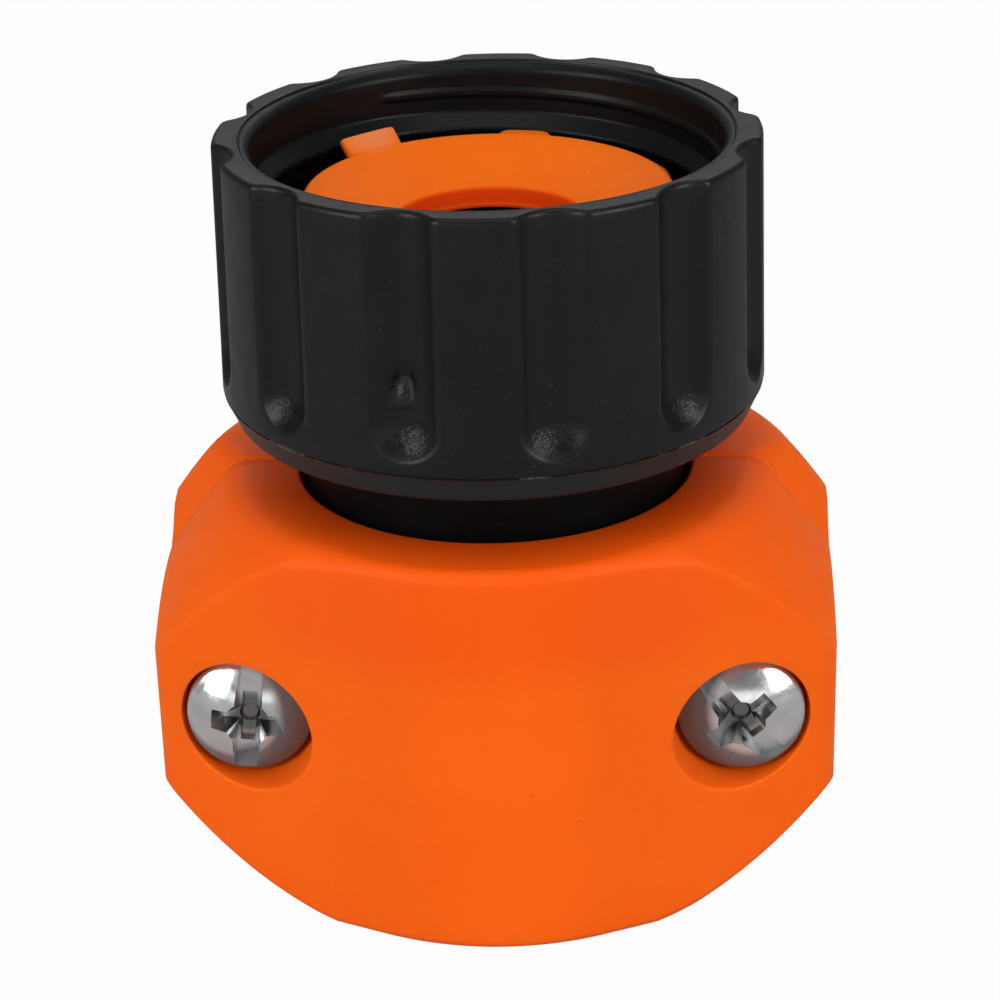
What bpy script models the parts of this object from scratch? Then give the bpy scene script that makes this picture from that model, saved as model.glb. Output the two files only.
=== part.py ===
"""Female garden hose connector: swivel nut, sealing washer, stem and a two-part screw clamp.

Metres, +Z up along the hose. The origin is on the hose axis, in the plane of the clamp's lower face.
The clamp parts in the plane Y = 0, and the screw heads face -Y.
"""
from math import acos, asin, atan, atan2, cos, hypot, pi, radians, sin, sqrt, tan

import bmesh
import bpy
from mathutils import Matrix, Vector

# Clamp halves
CLAMP_HEIGHT = 0.0249
CLAMP_FRONT_RADIUS = 0.0163
WING_WALL = 0.0016
WING_SLANT = radians(24)
WING_CORNER_ROUND = 0.0016
SHOULDER_BEND_RADIUS = 0.0414
UPPER_SHOULDER_START = 0.0166
UPPER_SHOULDER_START_SIDE = 0.0160
UPPER_SHOULDER_SLOPE = radians(49)
REAR_SHOULDER_GAIN = 0.0018
REAR_SHOULDER_ONSET = radians(10)
LOWER_SHOULDER_START = 0.0162
LOWER_SHOULDER_SLOPE = radians(45)
CLAMP_EDGE_ROUND = 0.0008
CLAMP_PARTING_GAP = 0.0003
HOSE_WALL = 0.0030
HOSE_ENTRY_CHAMFER = 0.0006
GRIP_RIB_HEIGHT = 0.0006
GRIP_RIB_COUNT = 4
GRIP_RIB_PITCH = 0.0040
GRIP_RIB_FIRST = 0.0030
CLAMP_LIP_THICKNESS = 0.0022

# Screws with pan heads, and the hex nuts that they pull on
SCREW_WALL = 0.00115
SCREW_RADIUS = 0.0020
SCREW_TIP_CHAMFER = 0.0003
HEAD_RADIUS = 0.0038
HEAD_HEIGHT = 0.0027
HEAD_RIM_HEIGHT = 0.0011
HEAD_SEAT = 0.0082
RECESS_DEPTH = 0.0012
SLOT_WIDTH = 0.0011
SLOT_OVERRUN = 0.0004
CROSS_WIDTH = 0.0011
CROSS_SPAN = 0.0042
LEFT_SLOT_TURN = radians(6)
RIGHT_SLOT_TURN = radians(-39)
HEX_ACROSS_FLATS = 0.0070
HEX_THICKNESS = 0.0029
HEX_SEAT = 0.0052

# Stem
STEM_BORE_RADIUS = 0.0050
STEM_BORE_CHAMFER = 0.0004
STEM_WALL = 0.0022
TAIL_INSET = 0.0010
BARB_HEIGHT = 0.0010
BARB_COUNT = 4
BARB_PITCH = 0.0038
BARB_LAND = 0.0005
ANCHOR_LEDGE = 0.0010
ANCHOR_THICKNESS = 0.0018
COLLAR_RADIUS = 0.0116
COLLAR_RISE = 0.0036
NECK_RADIUS = 0.0088
NECK_LENGTH = 0.0081
FLANGE_LEDGE = 0.0019
FLANGE_THICKNESS = 0.0022

# Swivel nut
NUT_LENGTH = 0.0167
NUT_WALL = 0.0022
NUT_DRAFT = 0.00025
NUT_RIM_CHAMFER = 0.0003
NUT_BEVEL_HEIGHT = 0.0017
NUT_BEVEL_INSET = 0.0007
NUT_LIP_THICKNESS = 0.0024
THREAD_ROOT_RADIUS = 0.0138
MOUTH_CHAMFER = 0.0005
FLUTE_COUNT = 12
FLUTE_WIDTH = 0.0039
FLUTE_DEPTH = 0.0010
FLUTE_FOOT = 0.0025
FLUTE_PHASE = radians(15)

# Sealing washer
WASHER_THICKNESS = 0.0030
WASHER_HOLE_MARGIN = 0.0001
WASHER_DISH = 0.0018
WASHER_EDGE_ROUND = 0.0004
WASHER_HOLE_LAND = 0.0003
TAB_COUNT = 7
TAB_REACH = 0.0017
TAB_WIDTH = 0.0033
TAB_THICKNESS = 0.0008
TAB_PHASE = radians(-10.6)
CURLED_TAB = 1
CURL_ANGLE = radians(40)

# Clearances of the fits
TOUCH_GAP = 0.0003
SWIVEL_CLEARANCE = 0.0005
NUT_REST_GAP = 0.0005
TAB_CLEARANCE = 0.0012
COLLAR_CLEARANCE = 0.0003
ANCHOR_CLEARANCE = 0.0003
SCREW_HOLE_CLEARANCE = 0.00035
POCKET_CLEARANCE = 0.0003
HEX_POCKET_CLEARANCE = 0.00015
HEX_BORE_CLEARANCE = 0.0003

# Radii and distances from the axis that follow from the sizes above
TAIL_RADIUS = STEM_BORE_RADIUS + STEM_WALL
BARB_RADIUS = TAIL_RADIUS + BARB_HEIGHT
HOSE_CAVITY_RADIUS = BARB_RADIUS + HOSE_WALL
SCREW_HOLE_RADIUS = SCREW_RADIUS + SCREW_HOLE_CLEARANCE
SCREW_SPREAD = HOSE_CAVITY_RADIUS + SCREW_WALL + SCREW_HOLE_RADIUS
POCKET_RADIUS = HEAD_RADIUS + POCKET_CLEARANCE
WING_REACH = SCREW_SPREAD + POCKET_RADIUS + WING_WALL
ANCHOR_RADIUS = COLLAR_RADIUS + ANCHOR_LEDGE
FLANGE_RADIUS = NECK_RADIUS + SWIVEL_CLEARANCE + FLANGE_LEDGE
NUT_RIM_RADIUS = THREAD_ROOT_RADIUS + NUT_WALL
NUT_FOOT_RADIUS = NUT_RIM_RADIUS + NUT_DRAFT
WASHER_RADIUS = THREAD_ROOT_RADIUS - TAB_CLEARANCE - TAB_REACH
WASHER_HOLE_RADIUS = STEM_BORE_RADIUS + WASHER_HOLE_MARGIN

# Heights and places that follow from the sizes above
SCREW_HEIGHT = CLAMP_HEIGHT / 2
GROOVE_TOP = CLAMP_HEIGHT - CLAMP_LIP_THICKNESS
ANCHOR_TOP = GROOVE_TOP - ANCHOR_CLEARANCE
ANCHOR_FOOT = ANCHOR_TOP - ANCHOR_THICKNESS
GROOVE_FOOT = ANCHOR_FOOT - ANCHOR_CLEARANCE
COLLAR_TOP = CLAMP_HEIGHT + COLLAR_RISE
FLANGE_FOOT = COLLAR_TOP + NECK_LENGTH
SEAT = FLANGE_FOOT + FLANGE_THICKNESS
NUT_FOOT = COLLAR_TOP + NUT_REST_GAP
NUT_TOP = NUT_FOOT + NUT_LENGTH
WASHER_FOOT = SEAT + TOUCH_GAP
WASHER_TOP = WASHER_FOOT + WASHER_THICKNESS
HEAD_UNDERSIDE = HEAD_SEAT + TOUCH_GAP
HEX_FACE = HEX_SEAT + TOUCH_GAP
SCREW_LENGTH = HEAD_UNDERSIDE + HEX_FACE + HEX_THICKNESS

# How finely round shapes are faceted
NUT_FACETS = 72
WASHER_FACETS = 48
STEM_FACETS = 40
SCREW_FACETS = 24
HOLE_FACETS = 24
FLUTE_FACETS = 16
ARC_STEPS = 4
SLANT_STEPS = 4
CORNER_STEPS = 2
SIDE_STEPS = 2
EDGE_STEPS = 2
SHOULDER_STEPS = 2
DOME_STEPS = 4
NOSE_STEPS = 4
HEX_SIDES = 6
MERGE_DISTANCE = 0.000002
SHARP_EDGE_ANGLE = radians(30)
CUT_OVERRUN = 0.0020


def remove_objects():
    for item in list(bpy.data.objects):
        bpy.data.objects.remove(item, do_unlink=True)


def make_material(name, colour, roughness, metallic):
    material = bpy.data.materials.new(name)
    material.use_nodes = True
    shader = material.node_tree.nodes["Principled BSDF"]
    shader.inputs["Base Color"].default_value = (*colour, 1.0)
    shader.inputs["Roughness"].default_value = roughness
    shader.inputs["Metallic"].default_value = metallic
    material.diffuse_color = (*colour, 1.0)
    return material


def place_mesh(name, work, material=None):
    """Closes off a bmesh as a named object, shaded smooth up to its sharp edges."""
    bmesh.ops.remove_doubles(work, verts=work.verts, dist=MERGE_DISTANCE)
    bmesh.ops.recalc_face_normals(work, faces=work.faces)
    mesh = bpy.data.meshes.new(name)
    work.to_mesh(mesh)
    work.free()
    mesh.shade_smooth()
    mesh.set_sharp_from_angle(angle=SHARP_EDGE_ANGLE)
    item = bpy.data.objects.new(name, mesh)
    bpy.context.collection.objects.link(item)
    if material:
        mesh.materials.append(material)
    return item


def boolean(item, cutter, operation):
    """Adds an exact boolean modifier and hides the other object as its guide."""
    modifier = item.modifiers.new(cutter.name, "BOOLEAN")
    modifier.operation = operation
    modifier.solver = "EXACT"
    modifier.object = cutter
    cutter.hide_render = True
    cutter.display_type = "WIRE"


def turn(name, profile, facets, material=None, axis=(0, 0, 1), close=True):
    """Turns points (radius, height) about an axis. A profile that isn't closed ends on the axis."""
    work = bmesh.new()
    points = [work.verts.new((radius, 0, height)) for radius, height in profile]
    pairs = list(zip(points, points[1:]))
    if close:
        pairs.append((points[-1], points[0]))
    edges = [work.edges.new(pair) for pair in pairs]
    bmesh.ops.spin(work, geom=points + edges, cent=(0, 0, 0), axis=(0, 0, 1), angle=2 * pi,
                   steps=facets, use_merge=True, use_duplicate=False)
    upright = Vector((0, 0, 1)).rotation_difference(Vector(axis))
    bmesh.ops.rotate(work, verts=work.verts, cent=(0, 0, 0), matrix=upright.to_matrix())
    return place_mesh(name, work, material)


def plan_radius(angle):
    """Distance from the hose axis to the clamp's outline, at an angle from the middle of a half."""
    angle = abs(angle)
    if angle <= WING_SLANT:
        return CLAMP_FRONT_RADIUS
    direction = Vector((sin(angle), cos(angle)))
    slant_normal = Vector((sin(WING_SLANT), cos(WING_SLANT)))
    to_slant = CLAMP_FRONT_RADIUS / direction.dot(slant_normal)
    to_side = WING_REACH / direction.x
    first, last = corner_angles()
    if first < angle < last:
        centre = corner_centre()
        along = centre.dot(direction)
        across = centre.length_squared - along ** 2
        return along + sqrt(WING_CORNER_ROUND ** 2 - across)
    return min(to_slant, to_side)


def corner_centre():
    """Centre of the round between a wing's slanted face and its side, with x outward and y away from the parting."""
    x = WING_REACH - WING_CORNER_ROUND
    y = (CLAMP_FRONT_RADIUS - WING_CORNER_ROUND - x * sin(WING_SLANT)) / cos(WING_SLANT)
    return Vector((x, y))


def corner_angles():
    """Angles at which the round at a wing's corner starts and ends."""
    centre = corner_centre()
    start = centre + WING_CORNER_ROUND * Vector((sin(WING_SLANT), cos(WING_SLANT)))
    end = centre + Vector((WING_CORNER_ROUND, 0))
    return atan2(start.x, start.y), atan2(end.x, end.y)


def half_stations():
    """Angles from one parting face of a half to the other, closer together where the outline is round."""
    first, last = corner_angles()
    spans = ((0, WING_SLANT, ARC_STEPS), (WING_SLANT, first, SLANT_STEPS), (first, last, CORNER_STEPS),
             (last, pi / 2, SIDE_STEPS))
    right = [0.0]
    for start, end, steps in spans:
        right += [start + (end - start) * step / steps for step in range(1, steps + 1)]
    return [-angle for angle in reversed(right[1:])] + right


def upper_start(angle, side):
    """Radius at which the flat top gives way to the upper shoulder: an ellipse about the hose axis.

    On the rear half it is wider, from a little way behind its parting face.
    """
    widest = UPPER_SHOULDER_START_SIDE
    if side > 0:
        widest += REAR_SHOULDER_GAIN * min(1, (pi / 2 - abs(angle)) / REAR_SHOULDER_ONSET)
    return 1 / hypot(sin(angle) / widest, cos(angle) / UPPER_SHOULDER_START)


def rounded_shoulder(angle, start, first_slope):
    """Points (radius, height) at one angle, from the wall over a gently bent shoulder to the flat top.

    The shoulder leaves the flat at the start radius with its first slope. Both its edges are rounded.
    """
    bend = SHOULDER_BEND_RADIUS - CLAMP_EDGE_ROUND
    bend_radius = start - SHOULDER_BEND_RADIUS * sin(first_slope)
    bend_height = CLAMP_HEIGHT - SHOULDER_BEND_RADIUS * cos(first_slope)
    outer = plan_radius(angle) - CLAMP_EDGE_ROUND
    top = CLAMP_HEIGHT - CLAMP_EDGE_ROUND
    high_slope = acos((top - bend_height) / bend)
    low_slope = max(high_slope, asin((outer - bend_radius) / bend))
    spans = ((pi / 2, low_slope, EDGE_STEPS), (low_slope, high_slope, SHOULDER_STEPS), (high_slope, 0, EDGE_STEPS))
    slopes = [pi / 2]
    for first, last, steps in spans:
        slopes += [first + (last - first) * step / steps for step in range(1, steps + 1)]
    points = []
    for slope in slopes:
        on_bend = min(max(slope, high_slope), low_slope)
        radius = min(outer, bend_radius + bend * sin(on_bend))
        height = min(top, bend_height + bend * cos(on_bend))
        points.append((radius + CLAMP_EDGE_ROUND * sin(slope), height + CLAMP_EDGE_ROUND * cos(slope)))
    return points


def cavity_profile():
    """Points (radius, height) down the inside of a half: collar opening, anchor groove, ribs and hose entry."""
    opening = COLLAR_RADIUS + COLLAR_CLEARANCE
    groove = ANCHOR_RADIUS + ANCHOR_CLEARANCE
    points = [(opening, CLAMP_HEIGHT), (opening, GROOVE_TOP), (groove, GROOVE_TOP), (groove, GROOVE_FOOT),
              (HOSE_CAVITY_RADIUS, GROOVE_FOOT)]
    for rib in reversed(range(GRIP_RIB_COUNT)):
        middle = GRIP_RIB_FIRST + rib * GRIP_RIB_PITCH
        points.append((HOSE_CAVITY_RADIUS, middle + GRIP_RIB_HEIGHT))
        points.append((HOSE_CAVITY_RADIUS - GRIP_RIB_HEIGHT, middle))
        points.append((HOSE_CAVITY_RADIUS, middle - GRIP_RIB_HEIGHT))
    points.append((HOSE_CAVITY_RADIUS, HOSE_ENTRY_CHAMFER))
    points.append((HOSE_CAVITY_RADIUS + HOSE_ENTRY_CHAMFER, 0))
    return points


def clamp_half(name, material, side):
    """One clamp half as a skin over its sections. side is -1 for the half in front and 1 for the half behind."""
    work = bmesh.new()
    sections = []
    for angle in half_stations():
        upper = rounded_shoulder(angle, upper_start(angle, side), UPPER_SHOULDER_SLOPE)
        lower = rounded_shoulder(angle, LOWER_SHOULDER_START, LOWER_SHOULDER_SLOPE)
        underside = [(radius, CLAMP_HEIGHT - height) for radius, height in reversed(lower)]
        outline = underside + upper + cavity_profile()
        sections.append([work.verts.new((radius * sin(angle), side * (radius * cos(angle) + CLAMP_PARTING_GAP / 2),
                                         height)) for radius, height in outline])
    for here, there in zip(sections, sections[1:]):
        for index in range(len(here)):
            work.faces.new((here[index - 1], here[index], there[index], there[index - 1]))
    work.faces.new(sections[0])
    work.faces.new(list(reversed(sections[-1])))
    return place_mesh(name, work, material)


def join_cutters(name, parts):
    """Makes one guide object out of several that don't meet."""
    work = bmesh.new()
    for part in parts:
        mesh = part.data.copy()
        mesh.transform(part.matrix_basis)
        work.from_mesh(mesh)
        bpy.data.meshes.remove(mesh)
        bpy.data.objects.remove(part, do_unlink=True)
    return place_mesh(name, work)


def rod(name, radius, start, end, facets, centre):
    """A plain rod along Y between two distances, about a centre (x, z)."""
    work = bmesh.new()
    bmesh.ops.create_cone(work, cap_ends=True, segments=facets, radius1=radius, radius2=radius, depth=end - start)
    bmesh.ops.rotate(work, verts=work.verts, cent=(0, 0, 0), matrix=Matrix.Rotation(pi / 2, 3, "X"))
    bmesh.ops.translate(work, verts=work.verts, vec=(centre[0], (start + end) / 2, centre[1]))
    return place_mesh(name, work)


def screw_places():
    return (("left", -SCREW_SPREAD, LEFT_SLOT_TURN), ("right", SCREW_SPREAD, RIGHT_SLOT_TURN))


def cut_front_pockets(clamp):
    """Cuts the round head pockets and the screw holes of the front half."""
    reach = CLAMP_FRONT_RADIUS + CUT_OVERRUN
    pockets = []
    holes = []
    for side, x, _ in screw_places():
        centre = (x, SCREW_HEIGHT)
        pockets.append(rod("pocket_" + side, POCKET_RADIUS, -reach, -HEAD_SEAT, HOLE_FACETS, centre))
        holes.append(rod("hole_" + side, SCREW_HOLE_RADIUS, -HEAD_SEAT - CUT_OVERRUN, CUT_OVERRUN, HOLE_FACETS,
                         centre))
    boolean(clamp, join_cutters("front_pockets", pockets), "DIFFERENCE")
    boolean(clamp, join_cutters("front_holes", holes), "DIFFERENCE")


def hex_radius(across_flats):
    return across_flats / 2 / cos(pi / HEX_SIDES)


def cut_rear_pockets(clamp):
    """Cuts the hex pockets and the screw holes of the rear half. Two flats of each hex stand upright."""
    reach = CLAMP_FRONT_RADIUS + CUT_OVERRUN
    pocket = hex_radius(HEX_ACROSS_FLATS + 2 * HEX_POCKET_CLEARANCE)
    pockets = []
    holes = []
    for side, x, _ in screw_places():
        centre = (x, SCREW_HEIGHT)
        pockets.append(rod("hex_" + side, pocket, HEX_SEAT, reach, HEX_SIDES, centre))
        holes.append(rod("rear_hole_" + side, SCREW_HOLE_RADIUS, -CUT_OVERRUN, HEX_SEAT + CUT_OVERRUN, HOLE_FACETS,
                         centre))
    boolean(clamp, join_cutters("rear_pockets", pockets), "DIFFERENCE")
    boolean(clamp, join_cutters("rear_holes", holes), "DIFFERENCE")


def head_profile():
    """Points (radius, height) of a screw from its tip to the top of its domed head. The head points up."""
    dome = HEAD_HEIGHT - HEAD_RIM_HEIGHT
    bend = (HEAD_RADIUS ** 2 + dome ** 2) / (2 * dome)
    widest = atan2(HEAD_RADIUS, bend - dome)
    points = [(0, -SCREW_LENGTH), (SCREW_RADIUS - SCREW_TIP_CHAMFER, -SCREW_LENGTH),
              (SCREW_RADIUS, SCREW_TIP_CHAMFER - SCREW_LENGTH), (SCREW_RADIUS, 0), (HEAD_RADIUS, 0)]
    for step in range(DOME_STEPS + 1):
        angle = widest * (1 - step / DOME_STEPS)
        points.append((bend * sin(angle), HEAD_HEIGHT - bend * (1 - cos(angle))))
    return points


def make_screw(side, x, slot_turn, steel):
    """A pan head screw along Y with a slot right across its head and a cross in the middle."""
    screw = turn("screw_" + side, head_profile(), SCREW_FACETS, steel, axis=(0, -1, 0), close=False)
    slot = recess_bar("slot_" + side, SLOT_WIDTH, 2 * (HEAD_RADIUS + SLOT_OVERRUN), slot_turn)
    cross = recess_bar("cross_" + side, CROSS_SPAN, CROSS_WIDTH, slot_turn)
    place = (x, -HEAD_UNDERSIDE, SCREW_HEIGHT)
    for item in (screw, slot, cross):
        item.location = place
    boolean(screw, slot, "DIFFERENCE")
    boolean(screw, cross, "DIFFERENCE")


def recess_bar(name, width, height, turned):
    """A bar that cuts the head from above its dome down to the floor of the recess."""
    work = bmesh.new()
    bmesh.ops.create_cube(work, size=1.0)
    depth = RECESS_DEPTH + CUT_OVERRUN
    bmesh.ops.scale(work, verts=work.verts, vec=(width, depth, height))
    bmesh.ops.translate(work, verts=work.verts, vec=(0, RECESS_DEPTH - HEAD_HEIGHT - depth / 2, 0))
    bmesh.ops.rotate(work, verts=work.verts, cent=(0, 0, 0), matrix=Matrix.Rotation(turned, 3, "Y"))
    return place_mesh(name, work)


def make_hex_nut(side, x, steel):
    centre = (x, SCREW_HEIGHT)
    back = HEX_FACE + HEX_THICKNESS
    nut = rod("hex_nut_" + side, hex_radius(HEX_ACROSS_FLATS), HEX_FACE, back, HEX_SIDES, centre)
    bore = rod("hex_bore_" + side, SCREW_RADIUS + HEX_BORE_CLEARANCE, HEX_FACE - CUT_OVERRUN, back + CUT_OVERRUN,
               HOLE_FACETS, centre)
    nut.data.materials.append(steel)
    boolean(nut, bore, "DIFFERENCE")


def stem_profile():
    """Points (radius, height) round the stem: bored tail with barbs, anchor, collar, neck and washer flange."""
    points = [(STEM_BORE_RADIUS, TAIL_INSET), (TAIL_RADIUS, TAIL_INSET)]
    for barb in range(BARB_COUNT):
        foot = TAIL_INSET + barb * BARB_PITCH
        points.append((BARB_RADIUS, foot + BARB_PITCH - 2 * BARB_LAND))
        points.append((BARB_RADIUS, foot + BARB_PITCH - BARB_LAND))
        points.append((TAIL_RADIUS, foot + BARB_PITCH))
    points += [(TAIL_RADIUS, ANCHOR_FOOT), (ANCHOR_RADIUS, ANCHOR_FOOT), (ANCHOR_RADIUS, ANCHOR_TOP),
               (COLLAR_RADIUS, ANCHOR_TOP), (COLLAR_RADIUS, COLLAR_TOP), (NECK_RADIUS, COLLAR_TOP),
               (NECK_RADIUS, FLANGE_FOOT), (FLANGE_RADIUS, FLANGE_FOOT), (FLANGE_RADIUS, SEAT),
               (STEM_BORE_RADIUS + STEM_BORE_CHAMFER, SEAT), (STEM_BORE_RADIUS, SEAT - STEM_BORE_CHAMFER)]
    return points


def nut_profile():
    """Points (radius, height) round the nut: bevelled foot, drafted wall, mouth, thread bore and lip."""
    lip_bore = NECK_RADIUS + SWIVEL_CLEARANCE
    return [(lip_bore, NUT_FOOT), (NUT_FOOT_RADIUS - NUT_BEVEL_INSET, NUT_FOOT),
            (NUT_FOOT_RADIUS, NUT_FOOT + NUT_BEVEL_HEIGHT), (NUT_RIM_RADIUS, NUT_TOP - NUT_RIM_CHAMFER),
            (NUT_RIM_RADIUS - NUT_RIM_CHAMFER, NUT_TOP), (THREAD_ROOT_RADIUS + MOUTH_CHAMFER, NUT_TOP),
            (THREAD_ROOT_RADIUS, NUT_TOP - MOUTH_CHAMFER), (THREAD_ROOT_RADIUS, NUT_FOOT + NUT_LIP_THICKNESS),
            (lip_bore, NUT_FOOT + NUT_LIP_THICKNESS)]


def flute_cutters():
    """Round-nosed rods that stand around the nut, parallel to its drafted wall, and leave its flutes."""
    half_width = FLUTE_WIDTH / 2
    radius = (half_width ** 2 + FLUTE_DEPTH ** 2) / (2 * FLUTE_DEPTH)
    draft = atan((NUT_FOOT_RADIUS - NUT_RIM_RADIUS) / NUT_LENGTH)
    nose_foot = NUT_FOOT + FLUTE_FOOT + half_width
    wall = NUT_FOOT_RADIUS - tan(draft) * (nose_foot - NUT_FOOT)
    length = NUT_TOP + CUT_OVERRUN - nose_foot
    bends = [pi / 2 * step / NOSE_STEPS for step in range(NOSE_STEPS + 1)]
    nose = [(radius * sin(bend), -radius * cos(bend)) for bend in bends]
    rods = []
    for flute in range(FLUTE_COUNT):
        cutter = turn("flute_" + str(flute), nose + [(radius, length), (0, length)], FLUTE_FACETS, close=False)
        place = Matrix.Translation((0, wall + radius - FLUTE_DEPTH, nose_foot))
        around = Matrix.Rotation(FLUTE_PHASE + 2 * pi * flute / FLUTE_COUNT, 4, "Z")
        cutter.data.transform(around @ place @ Matrix.Rotation(draft, 4, "X"))
        rods.append(cutter)
    return join_cutters("flute_rods", rods)


def make_nut(plastic):
    nut = turn("swivel_nut", nut_profile(), NUT_FACETS, plastic)
    boolean(nut, flute_cutters(), "DIFFERENCE")


def washer_profile():
    """Points (radius, height) round the washer, whose upper face sinks towards its hole."""
    inner_top = WASHER_TOP - WASHER_DISH
    return [(WASHER_HOLE_RADIUS, WASHER_FOOT), (WASHER_RADIUS, WASHER_FOOT),
            (WASHER_RADIUS, WASHER_TOP - WASHER_EDGE_ROUND), (WASHER_RADIUS - WASHER_EDGE_ROUND, WASHER_TOP),
            (WASHER_HOLE_RADIUS + WASHER_HOLE_LAND, inner_top), (WASHER_HOLE_RADIUS, inner_top - WASHER_EDGE_ROUND)]


def washer_tabs():
    """Thin tabs round the washer's upper edge. One of them is curled up."""
    work = bmesh.new()
    root = TAB_THICKNESS
    for tab in range(TAB_COUNT):
        lift = CURL_ANGLE if tab == CURLED_TAB else 0.0
        made = bmesh.ops.create_cube(work, size=1.0)["verts"]
        bmesh.ops.scale(work, verts=made, vec=(TAB_WIDTH, TAB_REACH + root, TAB_THICKNESS))
        bmesh.ops.translate(work, verts=made, vec=(0, (TAB_REACH - root) / 2, 0))
        height = WASHER_TOP - WASHER_EDGE_ROUND - TAB_THICKNESS / 2
        around = Matrix.Rotation(TAB_PHASE + 2 * pi * tab / TAB_COUNT, 4, "Z")
        place = around @ Matrix.Translation((0, WASHER_RADIUS, height)) @ Matrix.Rotation(lift, 4, "X")
        bmesh.ops.transform(work, matrix=place, verts=made)
    return place_mesh("tab_plates", work)


def make_washer(rubber):
    washer = turn("sealing_washer", washer_profile(), WASHER_FACETS, rubber)
    boolean(washer, washer_tabs(), "UNION")


def build():
    remove_objects()
    black = make_material("black_plastic", (0.018, 0.018, 0.019), 0.5, 0.0)
    orange = make_material("orange_plastic", (0.87, 0.13, 0.009), 0.45, 0.0)
    rubber = make_material("orange_rubber", (0.85, 0.12, 0.008), 0.4, 0.0)
    steel = make_material("steel", (0.72, 0.72, 0.72), 0.2, 1.0)
    make_nut(black)
    make_washer(rubber)
    turn("stem", stem_profile(), STEM_FACETS, black)
    cut_front_pockets(clamp_half("clamp_front", orange, -1))
    cut_rear_pockets(clamp_half("clamp_rear", orange, 1))
    for side, x, slot_turn in screw_places():
        make_screw(side, x, slot_turn, steel)
        make_hex_nut(side, x, steel)


build()
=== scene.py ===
"""Looks of the female garden hose connector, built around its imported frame. Metres, +Z up.

The pieces below stand for the frame's nodes and keep their sizes and places. Angles about the hose axis are
measured from -Y towards +X, which is anticlockwise seen from above.
"""
from math import acos, asin, atan2, cos, hypot, pi, radians, sin, sqrt, tan

import bmesh
import bpy
import numpy as np
from mathutils import Matrix, Vector


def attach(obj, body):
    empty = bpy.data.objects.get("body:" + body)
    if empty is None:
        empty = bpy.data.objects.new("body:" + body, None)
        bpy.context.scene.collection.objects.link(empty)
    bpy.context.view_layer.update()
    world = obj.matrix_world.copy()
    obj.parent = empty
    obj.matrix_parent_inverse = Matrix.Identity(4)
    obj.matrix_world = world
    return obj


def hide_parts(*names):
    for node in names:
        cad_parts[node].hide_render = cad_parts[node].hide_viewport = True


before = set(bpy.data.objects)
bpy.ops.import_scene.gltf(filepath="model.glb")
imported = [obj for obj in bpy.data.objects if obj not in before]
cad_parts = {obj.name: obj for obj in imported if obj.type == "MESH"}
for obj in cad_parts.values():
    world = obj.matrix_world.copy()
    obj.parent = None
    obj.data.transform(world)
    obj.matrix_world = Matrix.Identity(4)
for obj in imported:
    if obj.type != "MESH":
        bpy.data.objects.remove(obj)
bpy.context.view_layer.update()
MM = 0.001
WELD_DISTANCE = 0.0000015

# Heights, radii and lengths in millimetres. The main ones are those of the frame's solids.
CLAMP_HEIGHT = 24.9
FRONT_RADIUS = 16.3
WING_REACH = 20.4
WING_SLANT = radians(24)
WING_CORNER_ROUND = 1.6
SHOULDER_BEND = 41.4
UPPER_START = 16.6
UPPER_START_SIDE = 16.0
REAR_START_GAIN = 1.8
REAR_START_ONSET = radians(10)
UPPER_SLOPE = radians(49)
LOWER_START = 16.2
LOWER_SLOPE = radians(45)
CLAMP_EDGE_ROUND = 0.8
TOP_EDGE_SOFTENING = 1.6
PARTING_GAP = 0.3
PARTING_ROUND = 0.14
SCREW_SPREAD = 14.7
SCREW_HEIGHT = 12.45
POCKET_RADIUS = 4.1
HEAD_SEAT = 8.2
HEAD_UNDERSIDE = 8.5
HEAD_RADIUS = 3.8
HEAD_HEIGHT = 2.7
HEAD_DOME = 1.6
SCREW_LENGTH = 16.9
HEX_SEAT = 5.2
HEX_POCKET_APOTHEM = 3.65
SCREW_HOLE_RADIUS = 2.35
SCREW_RADIUS = 1.98
SCREW_PITCH = 0.7
HEX_NUT_APOTHEM = 3.5
HEX_NUT_NEAR = 5.5
HEX_NUT_FAR = 8.4
NUT_FOOT = 29.0
NUT_TOP = 45.7
NUT_RADIUS = 16.25
NUT_TAPER = 0.25
NUT_BORE_RADIUS = 13.8
NUT_MOUTH_RADIUS = 14.50
WASHER_FOOT = 39.1
WASHER_TOP = 42.1
WASHER_RADIUS = 10.9
SEAT = 38.8


# Camera

def add_camera():
    """The photo's viewing angle, its roll and its distance."""
    azimuth = radians(2.95)
    elevation = radians(24.67)
    roll = radians(-1.57)
    distance = 0.17893
    target = Vector((0.00018, 0, 0.0220))
    right = Vector((cos(azimuth), sin(azimuth), 0))
    back = Vector((sin(azimuth) * cos(elevation), -cos(azimuth) * cos(elevation), sin(elevation)))
    up = back.cross(right)
    rolled_right = right * cos(roll) + up * sin(roll)
    rolled_up = up * cos(roll) - right * sin(roll)
    stand = Matrix((rolled_right, rolled_up, back)).transposed().to_4x4()
    stand.translation = target + distance * back
    data = bpy.data.cameras.new("photo_camera")
    data.sensor_width = 36
    data.lens = 104.94
    data.clip_start = 0.01
    camera = bpy.data.objects.new("photo_camera", data)
    camera.matrix_world = stand
    bpy.context.collection.objects.link(camera)
    bpy.context.scene.camera = camera


# Mesh helpers

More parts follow.
